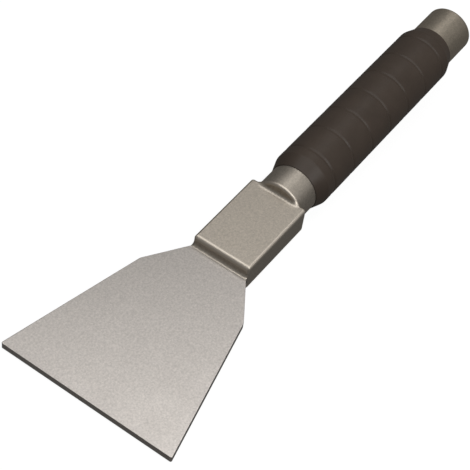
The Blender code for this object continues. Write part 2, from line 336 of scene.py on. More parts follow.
class NodeSheet:
    """Lays out the nodes of one material."""

    def __init__(self, name: str) -> None:
        """Starts an empty material with a Principled shader and an output.

        Args:
            name: the material's name.
        """
        self.material = bpy.data.materials.new(name)
        self.material.use_nodes = True
        self.tree = self.material.node_tree
        self.tree.nodes.clear()
        self.shader = self.add("ShaderNodeBsdfPrincipled")
        output = self.add("ShaderNodeOutputMaterial")
        self.join(self.shader.outputs["BSDF"], output.inputs["Surface"])
        self.place = self.add("ShaderNodeTexCoord").outputs["Object"]

    def add(self, kind: str, inputs: dict[str, Any] | None = None, **settings: Any) -> bpy.types.Node:
        """Adds a node.

        Args:
            kind: its type name.
            inputs: values for its sockets, by socket name.
            **settings: values for its own properties.

        Returns:
            The node.
        """
        node = self.tree.nodes.new(kind)
        for key, value in settings.items():
            setattr(node, key, value)
        for key, value in (inputs or {}).items():
            node.inputs[key].default_value = value
        return node

    def join(self, source: bpy.types.NodeSocket, target: bpy.types.NodeSocket) -> None:
        """Links one socket to another."""
        self.tree.links.new(source, target)

    def noise(self, size: float, detail: float, roughness: float = 0.5) -> bpy.types.NodeSocket:
        """A noise pattern on Object coordinates.

        Args:
            size: width of one grain in metres.
            detail: how many finer layers it has.
            roughness: how strong the finer layers are.

        Returns:
            Its value socket, about 0.5 on average.
        """
        values = {"Scale": 1 / size, "Detail": detail, "Roughness": roughness}
        node = self.add("ShaderNodeTexNoise", values)
        self.join(self.place, node.inputs["Vector"])
        return node.outputs["Fac"]

    def remap(self, source: bpy.types.NodeSocket, low: float, high: float) -> bpy.types.NodeSocket:
        """Stretches the middle of a noise over low to high.

        Args:
            source: the noise.
            low: the result at the middle's lower end.
            high: the result at its upper end.

        Returns:
            The result's socket.
        """
        least, most = NOISE_SPAN
        values = {"From Min": least, "From Max": most, "To Min": low, "To Max": high}
        node = self.add("ShaderNodeMapRange", values)
        self.join(source, node.inputs["Value"])
        return node.outputs["Result"]

    def blend(
        self, amount: bpy.types.NodeSocket, first: bpy.types.NodeSocket | Colour, second: Colour
    ) -> bpy.types.NodeSocket:
        """Mixes two colours.

        Args:
            amount: 0 for the first, 1 for the second.
            first: a colour or a colour socket.
            second: a colour.

        Returns:
            The mixed colour's socket.
        """
        node = self.add("ShaderNodeMix", data_type="RGBA")
        self.join(amount, node.inputs[MIX_AMOUNT])
        if isinstance(first, tuple):
            node.inputs[MIX_FIRST].default_value = (*first, 1.0)
        else:
            self.join(first, node.inputs[MIX_FIRST])
        node.inputs[MIX_SECOND].default_value = (*second, 1.0)
        return node.outputs[MIX_RESULT]

    def bump(
        self,
        height: bpy.types.NodeSocket,
        depth: float,
        strength: float,
        under: bpy.types.NodeSocket | None = None,
    ) -> bpy.types.NodeSocket:
        """Presses a height pattern into the surface.

        Args:
            height: the pattern.
            depth: its depth in metres.
            strength: 0 to 1.
            under: a coarser bump that this one lies on.

        Returns:
            The bent normal's socket.
        """
        node = self.add("ShaderNodeBump", {"Strength": strength, "Distance": depth})
        self.join(height, node.inputs["Height"])
        if under is not None:
            self.join(under, node.inputs["Normal"])
        return node.outputs["Normal"]


def shaded(colour: Colour, factor: float) -> Colour:
    """A colour times a factor."""
    return (colour[0] * factor, colour[1] * factor, colour[2] * factor)


@dataclass(frozen=True)
class BlastedSteel:
    """Stainless steel with a fine blasted grain, faint clouding, and edges rubbed brighter in use.

    Grain and pit depth are in metres, and clouds are measured in grains. Speckle, clouding and edge shine
    say how far the colour strays from the clean steel's, as shares of it.
    """

    slot: Slot
    colour: Colour
    roughness: float
    roughness_spread: float = 0.02
    grain: float = 0.0009
    cloud_grains: float = 14.0
    pit_depth: float = 0.00003
    pit_strength: float = 0.6
    speckle: float = 0.15
    clouding: float = 0.02
    edge_shine: float = 0.10

    def material(self) -> bpy.types.Material:
        """Builds the node material.

        Returns:
            The material, named after its slot.
        """
        sheet = NodeSheet(self.slot.value)
        shader = sheet.shader
        shader.inputs["Metallic"].default_value = 1.0
        pits = sheet.noise(self.grain, detail=3.0, roughness=0.7)
        clouds = sheet.noise(self.grain * self.cloud_grains, detail=3.0)
        dull = shaded(self.colour, 1 - self.clouding)
        clouded = sheet.blend(sheet.remap(clouds, 0.0, 1.0), self.colour, dull)
        pitted = shaded(self.colour, 1 - 2 * self.speckle)
        speckled = sheet.blend(sheet.remap(pits, 1.0, 0.0), clouded, pitted)
        worn = sheet.add("ShaderNodeAttribute", attribute_name=EDGE_ATTRIBUTE).outputs["Fac"]
        rubbed = shaded(self.colour, 1 + self.edge_shine)
        sheet.join(sheet.blend(worn, speckled, rubbed), shader.inputs["Base Color"])
        smoothest = self.roughness - self.roughness_spread
        rough = sheet.remap(clouds, smoothest, self.roughness + self.roughness_spread)
        sheet.join(rough, shader.inputs["Roughness"])
        sheet.join(sheet.bump(pits, self.pit_depth, self.pit_strength), shader.inputs["Normal"])
        return sheet.material


@dataclass(frozen=True)
class MouldedRubber:
    """Brown-black moulded rubber with a fine matt texture and smoother rubbed patches.

    The grain and both depths are in metres, and patches are measured in grains. Patches are tinted
    towards the dusty colour and grow rougher by the dulling.
    """

    slot: Slot
    colour: Colour
    dusty: Colour
    roughness: float
    dulling: float = 0.10
    specular: float = 0.22
    grain: float = 0.0006
    texture_depth: float = 0.00003
    texture_strength: float = 0.5
    patch_grains: float = 20.0
    patch_depth: float = 0.00012
    patch_strength: float = 0.25

    def material(self) -> bpy.types.Material:
        """Builds the node material.

        Returns:
            The material, named after its slot.
        """
        sheet = NodeSheet(self.slot.value)
        shader = sheet.shader
        shader.inputs["Specular IOR Level"].default_value = self.specular
        texture = sheet.noise(self.grain, detail=2.0)
        patches = sheet.noise(self.grain * self.patch_grains, detail=3.0, roughness=0.6)
        tint = sheet.blend(sheet.remap(patches, 0.0, 1.0), self.colour, self.dusty)
        sheet.join(tint, shader.inputs["Base Color"])
        rough = sheet.remap(patches, self.roughness, self.roughness + self.dulling)
        sheet.join(rough, shader.inputs["Roughness"])
        coarse = sheet.bump(patches, self.patch_depth, self.patch_strength)
        fine = sheet.bump(texture, self.texture_depth, self.texture_strength, under=coarse)
        sheet.join(fine, shader.inputs["Normal"])
        return sheet.material


@dataclass(frozen=True)
class MouldedPlastic:
    """Black moulded plastic with a fine sparked texture and faint paler flow marks.

    The grain and its depth are in metres, and flow marks are measured in grains.
    """

    slot: Slot
    colour: Colour
    roughness: float
    roughness_spread: float = 0.05
    grain: float = 0.0004
    texture_depth: float = 0.00003
    texture_strength: float = 0.5
    flow_grains: float = 30.0
    flow_shade: float = 1.6

    def material(self) -> bpy.types.Material:
        """Builds the node material.

        Returns:
            The material, named after its slot.
        """
        sheet = NodeSheet(self.slot.value)
        shader = sheet.shader
        texture = sheet.noise(self.grain, detail=2.0)
        flow = sheet.noise(self.grain * self.flow_grains, detail=2.0)
        paler = shaded(self.colour, self.flow_shade)
        tint = sheet.blend(sheet.remap(flow, 0.0, 1.0), self.colour, paler)
        sheet.join(tint, shader.inputs["Base Color"])
        smoothest = self.roughness - self.roughness_spread
        rough = sheet.remap(texture, smoothest, self.roughness + self.roughness_spread)
        sheet.join(rough, shader.inputs["Roughness"])
        normal = sheet.bump(texture, self.texture_depth, self.texture_strength)
        sheet.join(normal, shader.inputs["Normal"])
        return sheet.material


Finish = BlastedSteel | MouldedRubber | MouldedPlastic


# The sub-assemblies


@dataclass(frozen=True)
class Sizes:
    """The sizes that two or more pieces share, in metres."""

    blade_length: float = 0.0974
    blade_thickness: float = 0.0035
    bolster_length: float = 0.0464
    bolster_width: float = 0.0308
    bolster_height: float = 0.0144
    collar_length: float = 0.0202
    tube_radius: float = 0.0127
    bore_radius: float = 0.0107
    tube_length: float = 0.1440
    tang_length: float = 0.0300
    tang_width: float = 0.0236
    clearance: float = 0.0003
    screw_setbacks: tuple[float, float] = (0.0090, 0.0230)

    @property
    def collar_start(self) -> float:
        """Where the round collar stands up behind the bolster's block."""
        return self.blade_length + self.bolster_length

    @property
    def tube_start(self) -> float:
        """Where the handle tube meets the collar."""
        return self.collar_start + self.collar_length

    @property
    def handle_end(self) -> float:
        """The tube's rear end."""
        return self.tube_start + self.tube_length

    @property
    def screw_xs(self) -> list[float]:
        """Where the two blade screws stand."""
        return [self.blade_length + setback for setback in self.screw_setbacks]

    @property
    def screw_face(self) -> float:
        """The height of the screw heads' faces, just inside the bolster's underside."""
        return self.clearance * 2 / 3 - self.bolster_height / 2


def finish_piece(obj: bpy.types.Object, node: str, finish: Finish) -> bpy.types.Object:
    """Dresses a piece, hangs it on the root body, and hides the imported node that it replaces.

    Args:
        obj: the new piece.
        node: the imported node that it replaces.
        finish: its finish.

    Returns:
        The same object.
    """
    obj.data.materials.clear()
    obj.data.materials.append(finish.material())
    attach(obj, ROOT_BODY)
    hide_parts(node)
    LOG.info("%s: %d faces, stands for %s", obj.name, len(obj.data.polygons), node)
    return obj


@dataclass(frozen=True)
class Blade:
    """The flared plate and its tang.

    The section is a flat bar with rounded edges, carried along the tool while its half width follows the
    plate's outline.
    """

    sizes: Sizes
    tip_half_width: float = 0.0455
    tip_corner: float = 0.0007
    shoulder_x: float = 0.0754
    shoulder_half_width: float = 0.0287
    shoulder_radius: float = 0.0030
    neck_x: float = 0.0962
    neck_radius: float = 0.0020
    edge_radius: float = 0.0002
    edge_steps: int = 5
    flat_columns: int = 40
    tip_stations: tuple[float, float, float] = (0.00028, 0.00084, 0.0002)
    plate_step: float = 0.002
    shoulder_step: float = 0.0004
    neck_reach: float = 0.0015
    neck_step: float = 0.0003
    tang_step: float = 0.003
    side_row: float = 0.7

    def half_width(self, x: np.ndarray) -> np.ndarray:
        """Half the plate's width: the outline from the middle of the front edge round to the neck.

        Args:
            x: places along the tool.

        Returns:
            The half width at each.
        """
        neck = self.sizes.bolster_width / 2
        outline = [
            (0.0, 0.0, 0.0),
            (0.0, self.tip_half_width, self.tip_corner),
            (self.shoulder_x, self.shoulder_half_width, self.shoulder_radius),
            (self.neck_x, neck, self.neck_radius),
            (self.sizes.blade_length, neck, 0.0),
        ]
        return rounded_line(x, outline)

    def stations(self) -> tuple[np.ndarray, np.ndarray, np.ndarray]:
        """The places along the tool where a section is drawn.

        Returns:
            Their x, the half width there, and how far the front edge's rounding draws the section in.
        """
        radius = self.edge_radius
        turn = np.linspace(0, math.pi / 2, self.edge_steps)
        step = self.plate_step
        before, after = self.shoulder_x - step, self.shoulder_x + step
        neck = self.neck_x - self.neck_reach
        wall = self.sizes.blade_length - self.sizes.clearance
        plate = np.concatenate(
            [
                radius * (1 - np.cos(turn)),
                spread(*self.tip_stations),
                spread(step, before, step)[:-1],
                spread(before, after, self.shoulder_step)[:-1],
                spread(after, neck, self.neck_reach)[:-1],
                spread(neck, wall, self.neck_step),
            ]
        )
        width = self.half_width(plate)
        drawn_in = np.zeros(len(plate))
        drawn_in[: self.edge_steps] = radius * (1 - np.sin(turn))
        tang = spread(wall, wall + self.sizes.tang_length, self.tang_step)
        x = np.concatenate([plate, tang])
        half = np.concatenate([width, np.full(len(tang), self.sizes.tang_width / 2)])
        inset = np.concatenate([drawn_in, np.zeros(len(tang))])
        return x, half, inset

    def surface(self) -> Surface:
        """Carries the bar section along the stations and closes both ends.

        Returns:
            The closed surface, worn along its edges.
        """
        x, half, inset = self.stations()
        radius = self.edge_radius
        thick = self.sizes.blade_thickness / 2
        turn = np.linspace(0, math.pi / 2, self.edge_steps)
        # A quarter of the loop as (share of the flat, y short of the side, z): side, round edge, flat.
        round_y = radius * (1 - np.cos(turn))
        round_z = thick - radius * (1 - np.sin(turn))
        short = np.concatenate([[0.0, 0.0], round_y, [radius * 2]])
        height = np.concatenate([[0.0, (thick - radius) * self.side_row], round_z, [thick]])
        worn = np.concatenate([[0.0, 0.0], np.sin(2 * turn) ** 0.5, [0.0]])
        share = np.linspace(1, -1, self.flat_columns)[1:-1]
        inner = half[:, None] - inset[:, None] - radius * 2
        right = half[:, None] - inset[:, None] - short[None, :]
        flat = inner * share[None, :]
        left = -right[:, ::-1]
        top_y = np.concatenate([right, flat, left], axis=1)
        top_z = np.concatenate([height, np.full(len(share), thick), height[::-1]])
        squeeze = (thick - inset) / thick
        top_z = squeeze[:, None] * top_z[None, :]
        y = np.concatenate([top_y, top_y[:, -2:0:-1]], axis=1)
        z = np.concatenate([top_z, -top_z[:, -2:0:-1]], axis=1)
        edge_top = np.concatenate([worn, np.zeros(len(share)), worn[::-1]])
        edge = np.concatenate([edge_top, edge_top[-2:0:-1]])
        columns = y.shape[1]
        points = np.stack([np.repeat(x[:, None], columns, axis=1), y, z], axis=-1).reshape(-1, 3)
        faces = tube_faces(len(x), columns)
        faces += self.end_lid(0, columns, forward=True)
        faces += self.end_lid((len(x) - 1) * columns, columns, forward=False)
        wear = np.repeat(edge[None, :], len(x), axis=0)
        front_round = np.sin(2 * turn) ** 0.5
        wear[: self.edge_steps] = np.maximum(wear[: self.edge_steps], front_round[:, None])
        return Surface(points, faces, wear.reshape(-1))

    @staticmethod
    def end_lid(first: int, columns: int, forward: bool) -> list[list[int]]:
        """Closes a section loop by joining each point of its upper half to the one below it.

        Args:
            first: index of the loop's first point, at the middle of one side.
            columns: points in the loop.
            forward: True for the lid that faces the front.

        Returns:
            Index lists of the faces.
        """
        half = columns // 2
        upper = np.arange(1, half - 1)
        quads = np.stack([upper, upper + 1, columns - upper - 1, columns - upper], axis=-1)
        ends = np.array([[0, 1, columns - 1], [half, half + 1, half - 1]])
        if forward:
            quads = quads[:, ::-1]
            ends = ends[:, ::-1]
        return (quads + first).tolist() + (ends + first).tolist()

    def build(self, axes: ToolAxes, finish: Finish) -> bpy.types.Object:
        """Makes and dresses the blade."""
        return finish_piece(self.surface().to_object("spatula_blade", axes), "blade", finish)


# The bolster

Distance = Callable[[np.ndarray], np.ndarray]


def rounded_box(points: np.ndarray, low: np.ndarray, high: np.ndarray, radius: float) -> np.ndarray:
    """Distance to a box with rounded edges: the distance to a box smaller by the radius, less the radius.

    Args:
        points: where to measure.
        low: the box's lowest corner.
        high: its highest corner.
        radius: of its edges.

    Returns:
        The distance at each point, below zero inside.
    """
    centre = (low + high) / 2
    half = (high - low) / 2 - radius
    away = np.abs(points - centre) - half
    outside = np.linalg.norm(np.maximum(away, 0), axis=-1)
    inside = np.minimum(away.max(axis=-1), 0)
    return outside + inside - radius


def rounded_drum(points: np.ndarray, front: float, radius: float, rim: float) -> np.ndarray:
    """Distance to an endless bar along x that begins at a front face with a rounded rim.

    Args:
        points: where to measure.
        front: the front face's x.
        radius: the bar's radius.
        rim: the rim's radius.

    Returns:
        The distance at each point, below zero inside.
    """
    out = np.hypot(points[..., 1], points[..., 2]) - (radius - rim)
    ahead = front + rim - points[..., 0]
    outside = np.hypot(np.maximum(out, 0), np.maximum(ahead, 0))
    inside = np.minimum(np.maximum(out, ahead), 0)
    return outside + inside - rim


def filleted(first: np.ndarray, second: np.ndarray, radius: float) -> np.ndarray:
    """Distance to two solids joined by a hollow fillet, a quarter circle wherever both are near.

    Args:
        first: distance to one solid.
        second: distance to the other.
        radius: of the fillet.

    Returns:
        The distance to both together.
    """
    near_first = np.maximum(radius - first, 0)
    near_second = np.maximum(radius - second, 0)
    return np.maximum(radius, np.minimum(first, second)) - np.hypot(near_first, near_second)


def rounded_overlap(first: np.ndarray, second: np.ndarray, radius: float) -> np.ndarray:
    """Distance to where two solids overlap, with the edge between them rounded.

    Args:
        first: distance to one solid.
        second: distance to the other.
        radius: of the edge.

    Returns:
        The distance to their overlap.
    """
    near_first = np.maximum(first + radius, 0)
    near_second = np.maximum(second + radius, 0)
    return np.minimum(-radius, np.maximum(first, second)) + np.hypot(near_first, near_second)


def gradient(distance: Distance, points: np.ndarray, step: float = 2e-6) -> np.ndarray:
    """The direction in which a distance grows, from central differences.

    Args:
        distance: the distance function.
        points: where to read it.
        step: how far to either side it is read, in metres.

    Returns:
        A vector of about unit length for each point.
    """
    shifts = np.eye(3) * step
    return np.stack(
        [(distance(points + shift) - distance(points - shift)) / (2 * step) for shift in shifts],
        axis=-1,
    )


@dataclass(frozen=True)
class Bolster:
    """The casting that holds the blade: a rounded block, a round collar, and a cored spigot for the tube.

    Its skin is where a distance function is zero: the blade's plate, the block and the collar, joined by
    hollow fillets. A polar grid about the centre line is drawn near the skin and then moved onto it along
    the function's gradient.
    """

    sizes: Sizes
    block_edge: float = 0.0014
    collar_rim: float = 0.0014
    collar_overlap: float = 0.0010
    plate_edge: float = 0.0002
    front_round: float = 0.0021
    foot_fillet: float = 0.0020
    root_fillet: float = 0.0020
    tuck: float = 0.00005
    step_reach: float = 0.0030
    step_rows: int = 37
    step_gap: float = 0.0003
    middle_step: float = 0.0015
    collar_step: float = 0.001
    seam_gap: float = 0.0005
    side_steps: tuple[float, float, float] = (0.0004, 0.00012, 0.0005)
    plate_zone: tuple[float, float] = (0.7, 1.3)
    corner_columns: int = 14
    corner_share: float = 1.15
    top_step: float = 0.00055
    settle_rounds: int = 12
    wear_step: float = 1e-5
    tuck_share: float = 0.9
    spigot_length: float = 0.0250
    spigot_wall: float = 0.0029
    spigot_chamfer: float = 0.0010
    core_setback: float = 0.0050
    screw_shank: float = 0.0028
    screw_head: float = 0.00502
    screw_hole_depth: float = 0.0124
    screw_hole_columns: int = 64
    slot_share: float = 0.94

    def distance(self, points: np.ndarray) -> np.ndarray:
        """Distance to the blade's plate, the block and the collar as one filleted solid.

        Args:
            points: where to measure, in the tool's axes.

        Returns:
            The distance at each point, below zero inside.
        """
        sizes = self.sizes
        half = np.array([sizes.bolster_width, sizes.bolster_height]) / 2
        rear = sizes.collar_start + self.collar_overlap
        plate_y = half[0] - self.tuck
        plate_z = sizes.blade_thickness / 2 - self.tuck
        plate = rounded_box(
            points,
            np.array([-1.0, -plate_y, -plate_z]),
            np.array([sizes.blade_length + self.foot_fillet * 2, plate_y, plate_z]),
            self.plate_edge,
        )
        block = rounded_box(
            points,
            np.array([sizes.blade_length, -half[0], -half[1]]),
            np.array([rear, half[0], half[1]]),
            self.block_edge,
        )
        ahead = sizes.blade_length - points[..., 0]
        above = np.abs(points[..., 2]) - half[1]
        block = np.maximum(block, rounded_overlap(ahead, above, self.front_round))
        collar = rounded_drum(points, sizes.collar_start, sizes.tube_radius, self.collar_rim)
        body = filleted(plate, block, self.foot_fillet)
        body = np.maximum(body, np.abs(points[..., 1]) - half[0])
        return filleted(body, collar, self.root_fillet)

    def bearings(self) -> np.ndarray:
        """Angles round the centre line, closest together at the block's and the plate's corners.

        Returns:
            The angles in radians, once round.
        """
        half_width = self.sizes.bolster_width / 2
        half_height = self.sizes.bolster_height / 2
        edge = self.block_edge
        below, above = (self.sizes.blade_thickness / 2 * share for share in self.plate_zone)
        middle_step, plate_step, wall_step = self.side_steps
        rise = np.concatenate(
            [
                spread(0.0, below, middle_step)[:-1],
                spread(below, above, plate_step)[:-1],
                spread(above, half_height - edge * self.corner_share, wall_step),
            ]
        )
        corner = np.radians(np.linspace(0, 90, self.corner_columns))
        corner_y = half_width - edge + edge * np.cos(corner)
        corner_z = half_height - edge + edge * np.sin(corner)
        top = spread(half_width - edge * self.corner_share, 0.0, self.top_step)
        quarter = np.concatenate(
            [np.arctan2(rise, half_width), np.arctan2(corner_z, corner_y), np.arctan2(half_height, top)]
        )
        upper = np.concatenate([quarter, math.pi - quarter[-2::-1]])
        return np.concatenate([upper, upper[1:-1] + math.pi])

    def outer_rings(self, angle: np.ndarray) -> np.ndarray:
        """The rings from inside the blade's neck to the end of the collar, settled onto the skin.

        Each round moves every point down the distance's gradient by its distance: p - d(p) * grad d(p).

        Args:
            angle: the angles of a ring's points.

        Returns:
            Points, as rings by columns by 3.
        """
        sizes = self.sizes
        across = np.maximum(np.abs(np.cos(angle)), TINY)
        upward = np.maximum(np.abs(np.sin(angle)), TINY)
        half_width = sizes.bolster_width / 2
        plate = np.minimum(half_width / across, sizes.blade_thickness / 2 / upward)
        block = np.minimum(half_width / across, sizes.bolster_height / 2 / upward)
        collar = np.full(len(angle), sizes.tube_radius)
        share = np.linspace(0, 1, self.step_rows)
        rise = smoothstep(share)[:, None]
        swing = self.step_reach * (2 * share - 1) ** 3
        reach = self.step_reach + self.step_gap
        middle = spread(sizes.blade_length + reach, sizes.collar_start - reach, self.middle_step)
        seam = sizes.tube_start - self.seam_gap
        behind = spread(sizes.collar_start + reach, seam, self.collar_step)
        x = np.concatenate([sizes.blade_length + swing, middle, sizes.collar_start + swing, behind])
        radius = np.concatenate(
            [
                plate + (block - plate) * rise,
                np.repeat(block[None, :], len(middle), axis=0),
                block + (collar - block) * rise,
                np.repeat(collar[None, :], len(behind), axis=0),
            ]
        )
        points = polar(x, radius, angle)
        for _ in range(self.settle_rounds):
            points -= self.distance(points)[..., None] * gradient(self.distance, points)
        return points

    def wear(self, points: np.ndarray) -> np.ndarray:
        """How rubbed the skin is: 1 on the outer edges, where it curves most, and 0 on the flats.

        The curvature is the divergence of the normal, and wear grows from a quarter to three quarters of
        the sharpest edge's.

        Args:
            points: places on the skin.

        Returns:
            The wear at each point.
        """
        step = self.wear_step
        normal = gradient(self.distance, points)
        bend = np.zeros(points.shape[:-1])
        for shift in np.eye(3) * step:
            ahead = gradient(self.distance, points + shift)
            bend += ((ahead - normal) @ (shift / step)) / step
        sharpest = 1 / self.block_edge
        return np.clip((bend - sharpest / 4) / (sharpest / 2), 0, 1)

    def surface(self) -> Surface:
        """Closes the skin: a lid hidden in the blade's neck, and the spigot and its core behind.

        Returns:
            The closed surface, worn along the block's edges.
        """
        sizes = self.sizes
        angle = self.bearings()
        rings = self.outer_rings(angle)
        tucked = rings[:1].copy()
        tucked[..., 0] -= self.plate_edge
        tucked[..., 1:] *= self.tuck_share
        spigot_radius = sizes.bore_radius - sizes.clearance
        core_radius = spigot_radius - self.spigot_wall
        spigot_end = sizes.tube_start + self.spigot_length
        core_end = sizes.collar_start + self.core_setback
        hidden = np.array(
            [
                (sizes.tube_start, sizes.tube_radius),
                (sizes.tube_start, spigot_radius),
                (spigot_end - self.spigot_chamfer, spigot_radius),
                (spigot_end, spigot_radius - self.spigot_chamfer),
                (spigot_end, core_radius),
                (core_end, core_radius),
            ]
        )
        every = np.concatenate([tucked, rings, polar(hidden[:, 0], hidden[:, 1:], angle)])
        surface = capped(every, [tucked[0, 0, 0], 0, 0], [core_end, 0, 0])
        surface.edge = np.zeros(len(surface.points))
        surface.edge[len(angle) : len(angle) * (len(rings) + 1)] = self.wear(rings).reshape(-1)
        return surface

    def screw_cutter(self, x: float) -> Surface:
        """A countersink and a blind hole for one screw.

        Args:
            x: where the screw stands.

        Returns:
            The cutter, turned about the upright line through x.
        """
        below = self.sizes.screw_face - self.sizes.clearance * 3
        cone = self.screw_head - self.screw_shank
        face = self.sizes.screw_face
        profile = np.array(
            [
                (below, self.screw_head),
                (face, self.screw_head),
                (face + cone, self.screw_shank),
                (face + self.screw_hole_depth, self.screw_shank),
            ]
        )
        return upright(turned(profile, self.screw_hole_columns, closed=False), x)

    def slot_cutter(self) -> Surface:
        """The slot that the tang lies in, a hair thinner than the plate so that its mouth stays inside it.

        Returns:
            The cutter, a long box.
        """
        sizes = self.sizes
        half_height = sizes.blade_thickness / 2 * self.slot_share
        half = np.array([sizes.tang_width / 2 + sizes.clearance, half_height])
        front = sizes.blade_length - self.step_reach * 2
        rear = sizes.blade_length + sizes.tang_length
        signs = np.array([(1, 1), (-1, 1), (-1, -1), (1, -1)])
        loop = signs * half
        points = np.array([(x, y, z) for x in (front, rear) for y, z in loop])
        faces = tube_faces(2, 4) + [[3, 2, 1, 0], [4, 5, 6, 7]]
        return Surface(points, faces)

    def build(self, axes: ToolAxes, finish: Finish) -> bpy.types.Object:
        """Makes the casting, cuts its slot and screw holes, and dresses it.

        Args:
            axes: where the tool lies.
            finish: the casting's finish.

        Returns:
            The finished object.
        """
        obj = self.surface().to_object("cast_bolster", axes)
        cutters = [self.slot_cutter()] + [self.screw_cutter(x) for x in self.sizes.screw_xs]
        for number, cutter in enumerate(cutters):
            cut_away(obj, cutter.to_object(f"bolster_cutter_{number}", axes))
        obj.data.set_sharp_from_angle(angle=SHARP_ANGLE)
        return finish_piece(obj, "bolster", finish)


def upright(surface: Surface, x: float) -> Surface:
    """Stands a surface that was turned about the centre line on the upright line through x.

    Args:
        surface: the turned surface, whose first end becomes the lowest.
        x: where it stands.

    Returns:
        The standing surface.
    """
    along, across, up = surface.points.T
    return Surface(np.stack([across + x, up, along], axis=-1), surface.faces)


def cut_away(obj: bpy.types.Object, cutter: bpy.types.Object) -> None:
    """Subtracts a cutter from an object, keeps the result in its mesh, and removes the cutter.

    Args:
        obj: the object to cut.
        cutter: a closed mesh object.
    """
    modifier = obj.modifiers.new("cut", "BOOLEAN")
    modifier.operation = "DIFFERENCE"
    modifier.solver = "EXACT"
    modifier.object = cutter
    bpy.context.view_layer.update()
    graph = bpy.context.evaluated_depsgraph_get()
    cut = bpy.data.meshes.new_from_object(obj.evaluated_get(graph), depsgraph=graph)
    obj.modifiers.clear()
    obj.data = cut
    mesh = cutter.data
    bpy.data.objects.remove(cutter)
    bpy.data.meshes.remove(mesh)


@dataclass(frozen=True)
class BladeScrews:
    """Two countersunk screws with hexagonal sockets, seen only from below."""

    sizes: Sizes
    head_radius: float = 0.0046
    shank_radius: float = 0.0025
    length: float = 0.0120
    rim: float = 0.00025
    rim_shares: tuple[tuple[float, float], ...] = ((0.0, 1.5), (0.3, 0.5), (1.0, 0.4))
    key_half_width: float = 0.0015
    key_depth: float = 0.0018
    key_shares: tuple[float, float, float] = (0.5, 0.9, 1.1)
    key_mouth: float = 1.06
    thread_pitch: float = 0.0008
    thread_depth: float = 0.00045
    tip_share: float = 0.7
    columns: int = 72

    def surface(self, x: float) -> Surface:
        """One screw: rings that begin as a hexagon in the socket and turn round at the head's face.

        The thread is a ridge that winds up the shank: its depth falls off from the crest as a triangle wave
        of the angle plus the height in pitches.

        Args:
            x: where the screw stands.

        Returns:
            The closed surface.
        """
        angle = np.linspace(0, math.tau, self.columns, endpoint=False)
        sector = math.tau / 6
        hexagon = self.key_half_width / np.cos((angle + sector / 2) % sector - sector / 2)
        circle = np.ones(self.columns)
        face = self.sizes.screw_face
        end = face + self.length
        head_end = face + self.head_radius - self.shank_radius
        point, wall, pole = self.key_shares
        rings = [
            (face + self.key_depth, hexagon * point),
            (face + self.key_depth * wall, hexagon),
            (face + self.rim / 2, hexagon),
            (face, hexagon * self.key_mouth),
        ]
        for rise, inset in self.rim_shares:
            rings.append((face + self.rim * rise, circle * (self.head_radius - self.rim * inset)))
        rings.append((head_end, circle * self.shank_radius))
        for z in np.arange(head_end + self.thread_pitch / 2, end, self.thread_pitch / 4):
            turn = (z - head_end) / self.thread_pitch + angle / math.tau
            crest = np.abs((turn % 1) * 2 - 1)
            rings.append((z, self.shank_radius - self.thread_depth * (1 - crest)))
        rings.append((end, circle * self.shank_radius * self.tip_share))
        grid = polar(np.array([z for z, _ in rings]), np.array([ring for _, ring in rings]), angle)
        return upright(capped(grid, [face + self.key_depth * pole, 0, 0], [end, 0, 0]), x)

    def build(self, axes: ToolAxes, finish: Finish) -> list[bpy.types.Object]:
        """Makes and dresses both screws.

        Args:
            axes: where the tool lies.
            finish: the screws' finish.

        Returns:
            The two objects, front first.
        """
        made = []
        for place, x in zip(("front", "rear"), self.sizes.screw_xs):
            obj = self.surface(x).to_object(f"socket_screw_{place}", axes)
            made.append(finish_piece(obj, f"blade_screw_{place}", finish))
        return made


@dataclass(frozen=True)
class HandleTube:
    """The round tube, with its end edges broken by hand."""

    sizes: Sizes
    outer_break: float = 0.0006
    inner_break: float = 0.0004
    front_gap: float = 0.001
    end_gap: float = 0.0015
    step: float = 0.004
    break_rows: tuple[int, int] = (7, 5)
    columns: int = 160

    def surface(self) -> Surface:
        """The wall's section turned about the centre line.

        Returns:
            The closed surface, worn at the rear end's outer edge.
        """
        sizes = self.sizes
        front = sizes.tube_start + sizes.clearance
        end = sizes.handle_end
        outer, inner = sizes.tube_radius, sizes.bore_radius
        rows, lip_rows = self.break_rows
        rounding = arc((end - self.outer_break, outer - self.outer_break), self.outer_break, 90, 0, rows)
        lip = arc((end - self.inner_break, inner + self.inner_break), self.inner_break, 0, -90, lip_rows)
        x = spread(front + self.front_gap, end - self.end_gap, self.step)
        outside = np.stack([x, np.full(len(x), outer)], axis=-1)
        inside = np.stack([x[::-1], np.full(len(x), inner)], axis=-1)
        profile = np.concatenate([[(front, inner), (front, outer)], outside, rounding, lip, inside])
        surface = turned(profile, self.columns, closed=True)
        worn = np.zeros(len(profile))
        first = 2 + len(outside)
        worn[first : first + rows] = np.sin(np.linspace(0, math.pi, rows))
        surface.edge = np.repeat(worn, self.columns)
        return surface

    def build(self, axes: ToolAxes, finish: Finish) -> bpy.types.Object:
        """Makes and dresses the tube."""
        return finish_piece(self.surface().to_object("round_handle", axes), "handle_tube", finish)


